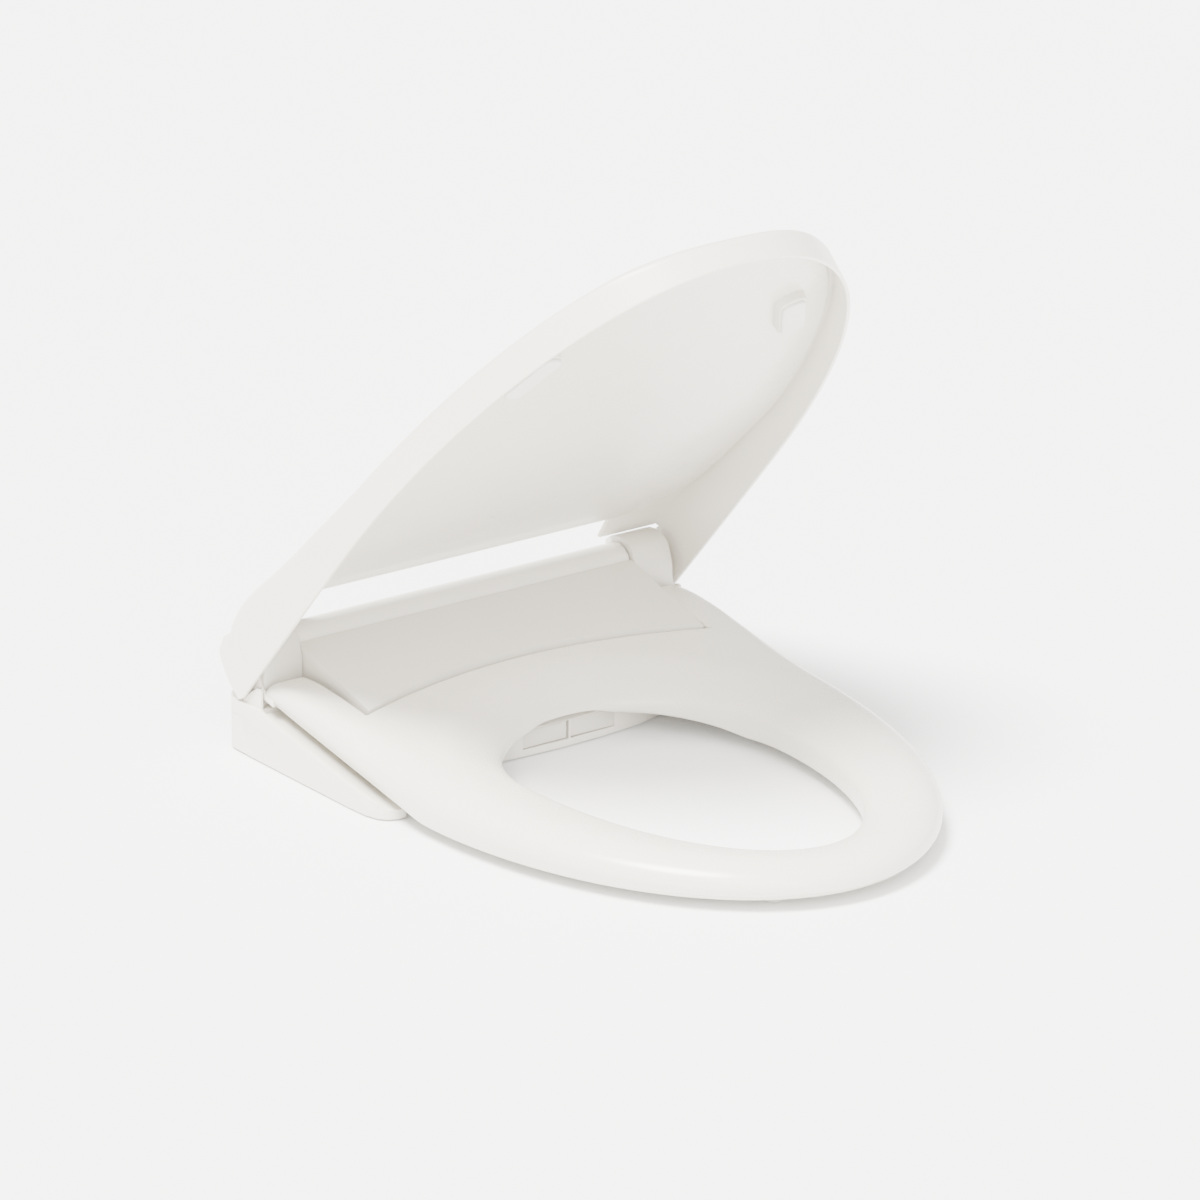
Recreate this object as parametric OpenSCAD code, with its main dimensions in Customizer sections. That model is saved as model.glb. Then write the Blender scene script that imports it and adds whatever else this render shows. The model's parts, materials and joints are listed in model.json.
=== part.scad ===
/* [Lid] */
// How far the lid stands open from closed, degrees
lid_open = 50.8; // [48:0.2:54]
// Half width of the lid
lid_hw = 193.5; // [193.5:0.5:195]
// Length of the lid from its rear corners to the nose
lid_len = 522.6; // [520:0.2:526]
// Thickness of the lid's wall
lid_t = 2.6; // [2.4:0.1:3]
// Half width of the cut-out in the rear of the lid
cut_hw = 137; // [130:1:140]

/* [Seat ring] */
// Half width of the seat ring
ring_hw = 185.8; // [185:0.2:186.6]
// Front end of the seat ring
ring_nose = 449; // [440:1:450]
// Half width of the hole in the ring
hole_hw = 109; // [100:1:109]
// Front end of the hole in the ring
hole_nose = 400; // [390:1:402]
// Wall of the ring's shells
ring_t = 3.5; // [3:0.1:4]

/* [Housing] */
// Half width of the housing
base_hw = 192.5; // [192:0.5:193]
// Rear end of the housing
base_rear = 68; // [67:0.5:69]
// Front end of the side arms
arm_front = 131; // [120:1:134]
// Wall of the housing
base_t = 3; // [2.5:0.1:3.2]
// Top of the housing beside the covers
deck_z = 39.6; // [39:0.1:39.8]

/* [Hinge] */
// Hinge axis, distance behind the fixing line
axis_y = 50; // [49.8:0.1:50.2]
// Hinge axis, height
axis_z = 66; // [65.8:0.1:66.4]

/* [Fixing plate] */
// Distance between the two fixing slots
slot_pitch = 140; // [135:1:150]
// Width of a fixing slot
slot_w = 10; // [9:0.5:11]
// Length of a fixing slot
slot_l = 34; // [26:1:38]

/* [Hidden] */
$fn = 48;
e = 0.01;

// ---- shared outlines -------------------------------------------------
// half outline that is nearly straight at the back and elliptic at the front
function half_front(hw, yw, yn, n, p) =
  [for (i = [1:n]) let (a = 90 * i / n)
    [hw * pow(cos(a), 2 / p), yw - (yw - yn) * pow(sin(a), 2 / p)]];
function half_back(hw, hr, yr, yw, n) =
  [for (i = [0:n]) let (t = i / n, y = yr + (yw - yr) * t)
    [hw - (hw - hr) * (1 - t) * (1 - t), y]];
function flip(v) = [for (i = [len(v) - 1:-1:0]) [-v[i][0], v[i][1]]];
function seat_plan(hw, hr, yr, yw, yn, p = 2.05) =
  let (h = concat(half_back(hw, hr, yr, yw, 6), half_front(hw, yw, yn, 22, p)))
  concat(h, [for (i = [len(h) - 2:-1:0]) [-h[i][0], h[i][1]]]);
// prism along X whose section is given as [y, z]
module along_x(pts, x0, x1) {
  translate([x0, 0, 0]) rotate([90, 0, 90]) linear_extrude(x1 - x0) polygon(pts);
}
module both() { children(); mirror([1, 0, 0]) children(); }
module xcyl(r, x0, x1) { translate([x0, 0, 0]) rotate([0, 90, 0]) cylinder(r = r, h = x1 - x0); }

// ---- fixing plate ----------------------------------------------------
module slot(w, l, h) {
  translate([-(l - w) / 2, 0, -1]) cylinder(d = w, h = h + 2);
  translate([(l - w) / 2, 0, -1]) cylinder(d = w, h = h + 2);
  translate([-(l - w) / 2, -w / 2, -1]) cube([l - w, w, h + 2]);
}
module mounting_plate() {
  color([0.80, 0.80, 0.78]) difference() {
    union() {
      translate([-100, -28, 3]) cube([200, 64, 2]);
      translate([-92, -28, 0]) cube([184, 64, 4]);
      translate([-20, -34, 0]) cube([40, 8, 5]);
    }
    for (s = [-1, 1]) translate([s * slot_pitch / 2, 0, 0]) slot(slot_w, slot_l, 6);
    translate([-46, -14, 3.2]) cube([92, 34, 3]);
  }
}
module plate_pads() {
  color([0.25, 0.25, 0.25]) for (s = [-1, 1]) translate([s * 36 - 8, -10, 3.2]) intersection() {
    cube([16, 26, 1.7]);
    translate([s < 0 ? 10 : -10, 0, 0]) cube([16, 26, 1.7]);
  }
}

// ---- housing ---------------------------------------------------------
function base_half(t) = [
  [0, -84 + t], [40, -82.5 + t], [75, -78.5 + t], [104 - t / 2, -71 + t], [126 - t / 2, -60 + t],
  [152 - t / 2, -57 + t], [161 + t, -72 + t], [166 + t, -arm_front + 4 + t], [170 + t / 2, -arm_front + t],
  [base_hw - 16 - t / 2, -arm_front + t], [base_hw - 9 - t / 2, -arm_front + 3 + t],
  [base_hw - 4 - t, -arm_front + 9 + t / 2], [base_hw - 1 - t, -arm_front + 20], [base_hw - t, -90],
  [base_hw - t, base_rear - 14], [base_hw - 1.2 - t, base_rear - 8.5], [base_hw - 4.4 - t, base_rear - 3.8 - t / 2],
  [base_hw - 9 - t / 2, base_rear - 0.9 - t], [base_hw - 15, base_rear - t], [0, base_rear - t]];
function sym(h) = concat(h, [for (i = [len(h) - 2:-1:1]) [-h[i][0], h[i][1]]]);
// top line of the housing, [y, z]
base_line = [[base_rear + 2, deck_z + 2.2], [59.6, deck_z + 2.2], [58.6, deck_z], [24, deck_z], [20, 38.5],
  [14, 37.2], [-100, 17.2], [-arm_front - 4, 11.4]];
function drop(v, d) = [for (p = v) [p[0], p[1] - d]];
module base_side(x0, x1, d, z0, low) {
  along_x(concat([[-arm_front - 4, z0], [base_rear + 2, z0]], drop([for (q = base_line) if (q[0] > 23) q], d),
    low > 0 ? [[23.9, deck_z - low - d]] : [], drop([for (q = base_line) if (q[0] < 23) q], d + low)), x0, x1);
}
module base_mid(x1, d, z0) {
  along_x([[-arm_front - 4, z0], [base_rear + 2, z0], [base_rear + 2, deck_z - d], [-41, deck_z - d],
    [-60, 31.5 - d], [-84.5, 21.5 - d], [-arm_front - 4, 18 - d]], -x1, x1);
}
module base_outer(t, d, z0) {
  intersection() {
    translate([0, 0, -5]) linear_extrude(80) polygon(sym(base_half(t)));
    union() {
      base_mid(150.5 - t, d, z0);
      both() base_side(t > 0 ? 152 : 150, 188.4, d, z0, 3.8);
      if (t == 0) both() base_side(188.3, 200, d, z0, 0);
    }
  }
}
nz_a = 5;       // slope of the nozzle, degrees
nz_x = -12.6;     // centre of the nozzle
fl_x = 29.4;      // centre of the dryer outlet
module base_housing() {
  color([0.95, 0.94, 0.91]) difference() {
    union() {
      difference() {
        base_outer(0, 0, 1.5);
        base_outer(base_t, base_t, 1.5 + base_t);
        // open top below the covers
        translate([-147.5, -37, 12]) cube([295, base_rear - base_t + 37, 40]);
      }
      // raised floor over the fixing plate
      translate([-106, -38, 3]) cube([212, base_rear + 36.5, 7]);
      // bosses for the case screws
      both() translate([128, -34, 3]) cylinder(r = 5, h = 29);
      both() translate([140, 42, 3]) cylinder(r = 5, h = 29);
      // shoulders beside the hinge towers
      both() along_x([[24.5, 38], [24.5, 53], [26, 55], [30, 54.5], [48, 42], [48, 38]], 187, 188.8);
    }
    // channel for the fixing plate, open at the back
    translate([-92.6, -35, -1]) cube([185.2, 140, 6.4]);
    translate([-100.6, -35, 2.5]) cube([201.2, 140, 2.9]);
    // nozzle outlet and dryer outlet in the front wall
    translate([nz_x - 20.4, -90, 6.6]) cube([40.8, 12, 14.8]);
    translate([nz_x - 12, -90, 6.6]) cube([24, 70, 14.6]);
    translate([fl_x - 20.4, -90, 6.6]) cube([40.8, 12, 14.8]);
    // filter bay and release button in the right side
    translate([150, -8.4, 11.6]) cube([60, 26.8, 16.8]);
    translate([170, 48, 17]) rotate([0, 90, 0]) cylinder(r = 7.2, h = 30);
    // rear openings for the inlet and the gland
    translate([-120, base_rear + 4, 24]) rotate([90, 0, 0]) cylinder(r = 13, h = 16);
    translate([122, base_rear + 4, 22]) rotate([90, 0, 0]) cylinder(r = 7, h = 16);
    // rear corners that carry the side caps
    both() cap_block(0);
  }
}
// rear corner piece, its front edge is a curve
module cap_block(g) {
  intersection() {
    translate([178, 0, 0]) cube([20, 90, 29]);
    difference() {
      translate([170, 28 + g, 1]) cube([30, 60, 28 - g]);
      translate([160, 74, 2]) rotate([0, 90, 0]) difference() {
        cylinder(r = 80, h = 60, $fn = 96);
        cylinder(r = 36 - g, h = 60, $fn = 96);
      }
    }
  }
}
module side_cap() {
  intersection() {
    cap_block(0.25);
    translate([0, 0, 1.5]) linear_extrude(60) polygon(sym(base_half(0)));
  }
}
module side_cap_right() {
  color([0.95, 0.94, 0.91]) difference() {
    side_cap();
    translate([185, 48, 17]) rotate([0, 90, 0]) cylinder(r = 7.2, h = 20);
    translate([170, 48, 17]) rotate([0, 90, 0]) cylinder(r = 3.4, h = 20);
  }
}
module side_cap_left() { color([0.95, 0.94, 0.91]) mirror([1, 0, 0]) side_cap(); }
module unit_feet() {
  color([0.3, 0.3, 0.3]) {
    both() translate([180, -100, 0]) cylinder(r = 5, h = 1.5);
    both() translate([170, 40, 0]) cylinder(r = 7, h = 1.5);
    both() translate([122, -46, 0]) cylinder(r = 6, h = 1.5);
  }
}

// sloped cover in front of the hinge line
function cover_arc(x, w, y0, y1) = y0 + (y1 - y0) * pow(abs(x) / w, 2);
function cover_plan(w, t) = concat([[w, 33.5], [-w, 33.5]],
  [for (i = [0:16]) let (x = -w + 2 * w * i / 16) [x, cover_arc(x, 151, -31 + t, -56 + t)]]);
module top_cover() {
  color([0.93, 0.92, 0.90]) difference() {
    intersection() {
      translate([0, 0, 30]) linear_extrude(60) polygon(cover_plan(149.6, 0));
      along_x([[-57, 50.2], [-57, 54.7], [30, 79.2], [33.5, 80.5], [33.5, 44], [-34, 44]], -151, 151);
    }
    intersection() {
      translate([0, 0, 20]) linear_extrude(80) polygon(cover_plan(146.6, 3));
      along_x([[-57, 20], [-57, 51.5], [30, 76], [40, 78.8], [40, 20]], -147.5, 147.5);
    }
  }
}
module rear_cover() {
  color([0.95, 0.94, 0.91]) difference() {
    along_x([[33.6, deck_z], [33.6, 79.4], [36, 84], [41, 88.2], [47, 90.2], [53, 89.4], [59, 85.5], [63.5, 79],
      [base_rear - 2, 71], [base_rear, 62], [base_rear, deck_z]], -148.5, 148.5);
    along_x([[36.6, deck_z - 1], [36.6, 79], [38.5, 82], [42.5, 85.5], [47, 87], [52, 86.3], [57, 83],
      [61, 77.5], [base_rear - 5, 71], [base_rear - 3, 62], [base_rear - 3, deck_z - 1]], -145.5, 145.5);
  }
}

// ---- hinges ----------------------------------------------------------
module at_axis() { translate([0, axis_y, axis_z]) children(); }
module hinge_towers() {
  color([0.93, 0.92, 0.90]) both() difference() {
    along_x([[30, deck_z], [28.5, 50], [27.6, 60], [28, 72], [30.5, 80], [33.5, 87], [38, 90.7], [44, 92.8], [50, 93.5], [56, 92.8],
      [62, 90.7], [67.8, 86.6], [67.8, 62], [58.3, 54], [58.3, deck_z]], 150, 183);
    at_axis() xcyl(8, 170, 190);
    at_axis() xcyl(4.6, 140, 190);
    at_axis() xcyl(13, 149, 166);
  }
}
module hinge_bushes() {
  color([0.55, 0.55, 0.55]) both() at_axis() difference() {
    xcyl(8, 170, 188.4);
    xcyl(4.56, 160, 190);
  }
}
module hinge_dampers() {
  color([0.35, 0.35, 0.37]) both() at_axis() difference() {
    xcyl(12.9, 151, 165.8);
    xcyl(4.7, 150, 190);
  }
}
module lid_shaft() {
  color([0.72, 0.72, 0.72]) both() at_axis() xcyl(4.5, 152, 191.4);
}

// ---- water and electrics ---------------------------------------------
module case_screws() {
  color([0.7, 0.7, 0.7]) both() for (p = [[128, -34], [140, 42]]) translate([p[0], p[1], 32]) {
    cylinder(r = 3.6, h = 2.4);
    translate([0, 0, 2.4]) difference() { cylinder(r = 3.2, h = 1); translate([0, 0, -0.2]) cylinder(r = 1.6, h = 2, $fn = 6); }
  }
}
module water_inlet() {
  color([0.78, 0.66, 0.40]) translate([-120, 0, 24]) rotate([-90, 0, 0]) difference() {
    union() {
      translate([0, 0, base_rear - 8]) cylinder(r = 10.2, h = 20);
      translate([0, 0, base_rear - 8]) cylinder(r = 12.9, h = 8.5);
      translate([0, 0, base_rear - 14]) cylinder(r = 7, h = 8);
    }
    translate([0, 0, base_rear - 15]) cylinder(r = 5, h = 28);
  }
}
module solenoid_valve() {
  color([0.2, 0.25, 0.35]) {
    translate([-133, 30, 12]) cube([26, 23, 24]);
    translate([-120, 47.4, 36]) cylinder(r = 9, h = 22);
  }
}
module water_pump() {
  color([0.3, 0.3, 0.32]) {
    translate([-122, -8, 26]) rotate([0, 90, 0]) cylinder(r = 13, h = 32);
    translate([-132, -16, 12]) cube([10, 16, 26]);
  }
}
module water_tank() {
  color([0.86, 0.87, 0.88]) difference() {
    translate([-84, -20, 12]) cube([48, 53, 46]);
    translate([-81, -17, 15]) cube([42, 47, 40]);
    translate([-60, 10, 50]) cylinder(r = 8, h = 10);
  }
}
module tank_heater() {
  color([0.75, 0.55, 0.4]) {
    translate([-60, 10, 20]) cylinder(r = 5, h = 34);
    translate([-60, 10, 54]) cylinder(r = 7.9, h = 4);
    translate([-60, 10, 58]) cylinder(r = 10, h = 3);
  }
}
module tube_arc(r, R, a) { rotate_extrude(angle = a) translate([R, 0]) circle(r = r, $fn = 20); }
module water_hoses() {
  color([0.75, 0.78, 0.8]) {
    // valve to pump
    translate([-126, 29.8, 22]) rotate([90, 0, 0]) cylinder(r = 3, h = 29.6);
    // pump to tank
    translate([-98, 6, 26]) rotate([-90, 0, 0]) cylinder(r = 3, h = 12);
    translate([-92, 18, 26]) rotate([0, 0, 90]) tube_arc(3, 6, 90);
    translate([-92, 24, 26]) rotate([0, 90, 0]) cylinder(r = 3, h = 7.8);
  }
}
module cord_gland() {
  color([0.9, 0.89, 0.86]) translate([122, 0, 22]) rotate([-90, 0, 0]) difference() {
    union() {
      translate([0, 0, base_rear - 8]) cylinder(r = 6.9, h = 14);
      translate([0, 0, base_rear]) cylinder(r = 10, h = 2.5);
    }
    translate([0, 0, base_rear - 6]) cylinder(r = 3.5, h = 20);
  }
}
module power_board() {
  color([0.2, 0.4, 0.25]) {
    translate([84, -20, 14]) cube([50, 54, 1.6]);
    translate([92, -12, 15.6]) cube([18, 16, 14]);
    translate([114, -12, 15.6]) cube([16, 12, 10]);
    translate([98, 18, 15.6]) cylinder(r = 7, h = 18);
    translate([118, 18, 15.6]) cylinder(r = 7, h = 18);
  }
}
module control_board() {
  color([0.15, 0.38, 0.25]) {
    translate([84, -22, 44]) cube([58, 46, 1.6]);
    translate([96, -10, 45.6]) cube([14, 14, 2]);
    translate([118, -2, 45.6]) cube([10, 18, 5]);
    translate([86, 22, 34]) cube([50, 2, 10]);
  }
}

// ---- hot air -----------------------------------------------------------
fan_c = [46, 10, 12];
module fan_housing() {
  color([0.4, 0.4, 0.42]) difference() {
    union() {
      translate(fan_c) cylinder(r = 32, h = 27.2);
      translate([fl_x - 16, -70, 10.5]) cube([32, 72, 11.5]);
    }
    translate([fan_c[0], fan_c[1], fan_c[2] + 2]) cylinder(r = 30, h = 23.4);
    translate([fan_c[0], fan_c[1], fan_c[2] + 20]) cylinder(r = 14, h = 20);
    translate([fl_x - 14, -80, 12]) cube([28, 84, 9]);
  }
}
module fan_heater() {
  color([0.8, 0.6, 0.4]) for (i = [0:3]) translate([fl_x - 13.5, -50 + i * 8, 12.5]) cube([27, 2, 8]);
}
module fan_rotor() {
  color([0.25, 0.25, 0.27]) translate([fan_c[0], fan_c[1], fan_c[2] + 3]) difference() {
    union() {
      cylinder(r = 27, h = 2);
      cylinder(r = 6, h = 22);
      for (i = [0:15]) rotate([0, 0, i * 22.5]) translate([20, -0.8, 0]) rotate([0, 0, 25]) cube([7.5, 1.6, 22]);
    }
    translate([0, 0, -1]) cylinder(r = 2, h = 30);
  }
}

// ---- nozzle ------------------------------------------------------------
// frame of the nozzle: its axis runs forward and slightly down
module at_nozzle() { translate([nz_x, -80, 14]) rotate([nz_a, 0, 0]) children(); }
module nozzle_rail() {
  color([0.55, 0.55, 0.56]) at_nozzle() difference() {
    translate([-11, 12, -5.2]) cube([22, 94, 11.4]);
    translate([-9, 11, -5.0]) cube([18, 100, 10.6]);
    translate([-3, 11, 2]) cube([6, 100, 10]);
  }
}
module nozzle_motor() {
  color([0.3, 0.3, 0.33]) at_nozzle() {
    translate([-10, 80, 17]) rotate([0, 90, 0]) cylinder(r = 7, h = 20);
    translate([-9, 72, 6.6]) cube([18, 16, 5]);
  }
}
module nozzle_wand() {
  color([0.88, 0.88, 0.87]) at_nozzle() {
    difference() {
      translate([0, 100, 0]) rotate([90, 0, 0]) cylinder(r = 4.7, h = 88);
      translate([0, 101, 0]) rotate([90, 0, 0]) cylinder(r = 2, h = 70);
    }
    translate([-8.4, 84, -4.4]) cube([16.8, 14, 5]);
  }
}
module nozzle_tip() {
  color([0.75, 0.76, 0.77]) at_nozzle() difference() {
    translate([0, 12, 0]) rotate([90, 0, 0]) cylinder(r = 5.2, h = 9.2);
    for (y = [3, 7]) translate([0, y, 3]) cylinder(r = 0.8, h = 4);
  }
}
module nozzle_door() {
  color([0.94, 0.93, 0.90]) translate([nz_x - 20, -81.6, 7.2]) difference() {
    union() { cube([39.4, 2.6, 13.6]); translate([16, 2, 4]) cube([8, 1.9, 6]); }
    translate([4, -1, 12.8]) cube([31.4, 1.4, 2]);
  }
}
module dryer_flap() {
  color([0.94, 0.93, 0.90]) {
    translate([fl_x - 19.4, -81.6, 7.2]) cube([39.4, 2.6, 12.6]);
    translate([fl_x - 19.4, -80.3, 19.8]) rotate([0, 90, 0]) cylinder(r = 1.3, h = 39.4);
  }
}

// ---- serviceable pieces --------------------------------------------------
module filter_cartridge() {
  color([0.25, 0.25, 0.27]) difference() {
    translate([152, -8, 12]) cube([36, 26, 16]);
    for (i = [0:5]) translate([158 + i * 4.6, -4, 11]) cube([2, 18, 18]);
  }
}
module filter_cover() {
  color([0.95, 0.94, 0.91]) translate([188, -8, 12]) cube([4.5, 26, 16]);
}
module release_button() {
  color([0.93, 0.92, 0.90]) translate([0, 48, 17]) rotate([0, 90, 0]) {
    translate([0, 0, 180]) cylinder(r = 3, h = 10);
    translate([0, 0, 188.4]) cylinder(r = 7, h = 4.1);
  }
}

// ---- seat ring -------------------------------------------------------------
ring_rear = 26;
ring_top = [[27, 58], [18, 60], [5, 61], [-20, 59.6], [-56, 55], [-100, 49], [-150, 44.5], [-200, 41.5], [-300, 37.5],
  [-390, 34.5], [-425, 32], [-ring_nose - 1, 26]];
ring_bot = [[27, 42.4], [14, 39.8], [-100, 19.8], [-146, 11.6], [-166, 8], [-ring_nose - 1, 8]];
function rev(v) = [for (i = [len(v) - 1:-1:0]) v[i]];
module ring_prism(top_drop, bot_rise, x1 = 200) {
  along_x(concat(drop(ring_top, top_drop), rev(drop(ring_bot, -bot_rise))), -x1, x1);
}
function ring_plan(t) = seat_plan(ring_hw - t, 184.5 - t, ring_rear - t, -162, -ring_nose + t, 2);
hole_y = -198;
module hole(t, z0 = -10, z1 = 90) {
  translate([0, 0, z0]) linear_extrude(z1 - z0)
    polygon(concat([for (i = [0:15]) let (a = 180 * i / 16) [(hole_hw + t) * cos(a), hole_y + (hole_hw + t) * sin(a)]],
      [for (i = [0:23]) let (a = 180 + 180 * i / 24) [(hole_hw + t) * cos(a), hole_y + (hole_nose + hole_y + t) * sin(a)]]));
}
module ring_cuts() {
  // notch for the sloped cover, its front edge is a curve
  translate([0, 0, -5]) linear_extrude(100) polygon(concat([[153, 40], [-153, 40]],
    [for (i = [0:16]) let (x = -153 + 306 * i / 16) [x, cover_arc(x, 151, -32.2, -57.2)]]));
  // room for the front of the housing
  along_x([[-93, -5], [-93, 24.6], [-60, 35.2], [-37, 43.6], [40, 62], [40, -5]], -153, 153);
  // room for the hinge towers
  both() at_axis() xcyl(24.6, 140, 183.4);
}
module ring_body(td, br, t) {
  intersection() {
    translate([0, 0, -5]) linear_extrude(100) polygon(ring_plan(t));
    ring_prism(td, br);
  }
}
module dish() { translate([0, hole_y, 30]) cylinder(h = 40, r1 = hole_hw, r2 = hole_hw + 40 * 1.69, $fn = 96); }
module ring_upper() {
  color([0.97, 0.96, 0.93]) {
    difference() {
      union() {
        difference() {
          ring_body(0, 3, 0);
          difference() {
            ring_body(5, 2, ring_t);
            hole(4);
            translate([0, hole_y, 24]) cylinder(h = 60, r1 = hole_hw + 3, r2 = hole_hw + 3 + 60 * 1.69, $fn = 96);
            translate([-157, -98, -5]) cube([314, 140, 100]);
          }
        }
        // hinge cheeks
        both() along_x([[20, 44], [20, 58], [40, 76], [46, 78.5], [54, 78.5], [60, 74], [62, 66], [60, 58], [54, 54], [44, 54], [34, 50]], 183.4, ring_hw);
      }
      hole(0);
      dish();
      ring_cuts();
      at_axis() both() xcyl(8.05, 180, 195);
    }
  }
}
module ring_lower() {
  color([0.96, 0.95, 0.92]) difference() {
    intersection() {
      ring_body(0, 0, 0);
      along_x(concat(rev(ring_bot), drop(ring_bot, -3)), -200, 200);
    }
    hole(0);
    ring_cuts();
  }
}
module ring_heater() {
  color([0.75, 0.72, 0.66]) difference() {
    intersection() {
      translate([0, 0, -5]) linear_extrude(100) polygon(ring_plan(12));
      along_x(concat(drop(ring_top, 6.6), rev(drop(ring_top, 5.6))), -200, 200);
    }
    hole(24);
    translate([0, hole_y, 22]) cylinder(h = 60, r1 = hole_hw + 10, r2 = hole_hw + 10 + 60 * 1.69, $fn = 96);
    translate([-200, -116, -5]) cube([400, 200, 100]);
  }
}
module ring_bumpers() {
  color([0.9, 0.9, 0.88]) both() {
    translate([140, -250, 0]) cylinder(r = 8, h = 8);
    translate([50, -408, 0]) cylinder(r = 8, h = 8);
  }
}

// ---- lid ---------------------------------------------------------------------
// built about the hinge axis, closed; local -Y runs to the nose
lid_a = 11.9;   // axis, distance from the rear corners
lid_b = 19.6;  // axis, height over the rim
lid_tilt = 2.8; // nose-down slope of the rim when closed
lid_back = 6.5; // reach of the side walls behind the rim's rear corners
lid_top = [[-lid_back, 3], [-4, 36], [2, 42], [26, 46.5], [53, 49.7], [81, 46.8], [138, 38.5], [169, 35.5],
  [226, 30], [250, 28.6], [318, 27.6], [420, 27.4], [490, 27.4], [510, 25.5], [lid_len, 19]];
module lid_place() {
  translate([0, axis_y, axis_z]) rotate([lid_tilt - lid_open, 0, 0]) children();
}
function lid_yz(v, d) = [for (p = v) [lid_a - p[0], p[1] - d - lid_b]];
function lid_plan(t, yr) = seat_plan(lid_hw - t, lid_hw - 1.5 - t, yr, lid_a - 184, lid_a - lid_len + t, 2.1);
module lid_block(t, d, z0) {
  intersection() {
    translate([0, 0, -40]) linear_extrude(110) polygon(lid_plan(t, lid_a + lid_back + (t > 0 ? 1 : 0)));
    along_x(concat([[lid_a, z0 - lid_b]], t > 0 ? [[lid_a + lid_back + 2, z0 - lid_b], [lid_a + lid_back + 2, 38 - lid_b]] : [],
      lid_yz([for (q = lid_top) if (t == 0 || q[0] > 0) q], d), [[lid_a - lid_len - 1, z0 - lid_b]]), -200, 200);
  }
}
module lid_shell() {
  color([0.97, 0.96, 0.93]) lid_place() difference() {
    lid_block(0, 0, 0);
    lid_block(lid_t + 0.3, lid_t, -1);
    // rear cut-out over the rear cover
    translate([-cut_hw, lid_a - 50, -40]) cube([2 * cut_hw, 80, 100]);
    // open backs of the ears, where they pass the towers
    both() translate([cut_hw - 1, lid_a - 26, -40]) cube([190 - cut_hw + 1, 60, 100]);
    both() xcyl(4.55, 185, 191.5);
  }
}
module lid_liner() {
  color([0.92, 0.91, 0.88]) lid_place() difference() {
    intersection() {
      translate([0, 0, -40]) linear_extrude(110) polygon(lid_plan(15, lid_a - 50));
      along_x(concat(lid_yz(lid_top, lid_t), rev(lid_yz(lid_top, lid_t + 4.5))), -200, 200);
    }
    translate([-200, lid_a - 58, -40]) cube([400, 100, 100]);
  }
}
lb = [114, lid_a - 391];
module lid_bumper_mounts() {
  color([0.90, 0.89, 0.86]) lid_place() both()
    translate([lb[0], lb[1], 12.8 - lid_b]) rotate([0, 0, -25.5]) translate([-11.5, -26.5, 0]) cube([23, 53, 7.2]);
}
module lid_bumpers() {
  color([0.90, 0.89, 0.86]) lid_place() both()
    translate([lb[0], lb[1], 10 - lid_b]) rotate([0, 0, -25.5]) translate([-9.5, -24.5, 0]) cube([19, 49, 2.8]);
}

mounting_plate();
plate_pads();
base_housing();
unit_feet();
top_cover();
rear_cover();
side_cap_left();
side_cap_right();
hinge_towers();
hinge_bushes();
hinge_dampers();
case_screws();
water_inlet();
solenoid_valve();
water_pump();
water_tank();
tank_heater();
water_hoses();
cord_gland();
power_board();
control_board();
fan_housing();
fan_heater();
fan_rotor();
nozzle_rail();
nozzle_motor();
nozzle_wand();
nozzle_tip();
nozzle_door();
dryer_flap();
filter_cartridge();
filter_cover();
release_button();
ring_upper();
ring_lower();
ring_heater();
ring_bumpers();
lid_shaft();
lid_shell();
lid_liner();
lid_bumper_mounts();
lid_bumpers();
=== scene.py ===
import bpy, bmesh, math, json
import numpy as np
from mathutils import Vector, Matrix, kdtree
from mathutils.geometry import delaunay_2d_cdt


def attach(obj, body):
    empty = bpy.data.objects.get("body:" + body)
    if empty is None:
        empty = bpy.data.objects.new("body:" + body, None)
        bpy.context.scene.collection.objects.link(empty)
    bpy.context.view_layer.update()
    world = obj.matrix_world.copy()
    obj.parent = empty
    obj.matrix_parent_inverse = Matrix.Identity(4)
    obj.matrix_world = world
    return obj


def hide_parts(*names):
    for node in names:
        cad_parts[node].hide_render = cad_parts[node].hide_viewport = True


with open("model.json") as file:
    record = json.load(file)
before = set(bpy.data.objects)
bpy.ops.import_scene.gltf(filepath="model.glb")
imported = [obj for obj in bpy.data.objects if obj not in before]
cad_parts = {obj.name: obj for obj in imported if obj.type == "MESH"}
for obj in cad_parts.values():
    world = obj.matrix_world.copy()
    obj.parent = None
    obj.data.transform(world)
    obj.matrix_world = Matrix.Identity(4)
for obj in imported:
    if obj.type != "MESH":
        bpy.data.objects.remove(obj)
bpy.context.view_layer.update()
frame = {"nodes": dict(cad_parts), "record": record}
MM = 0.001

# ---- camera ---------------------------------------------------------
AZ, EL = math.radians(-36.0), math.radians(20.2)
BACK = Vector((math.sin(AZ) * math.cos(EL), -math.cos(AZ) * math.cos(EL), math.sin(EL)))
LOOK = Vector((0.208, 0.154, 0.0))
cam_data = bpy.data.cameras.new("camera")
cam = bpy.data.objects.new("camera", cam_data)
bpy.context.scene.collection.objects.link(cam)
cam_data.lens = 300.0
cam_data.sensor_width = 36.0
cam.location = LOOK + BACK * 7.56
cam.rotation_mode = "QUATERNION"
cam.rotation_quaternion = (-BACK).to_track_quat("-Z", "Y")
cam_data.clip_start, cam_data.clip_end = 0.5, 100.0
bpy.context.scene.camera = cam


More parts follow.
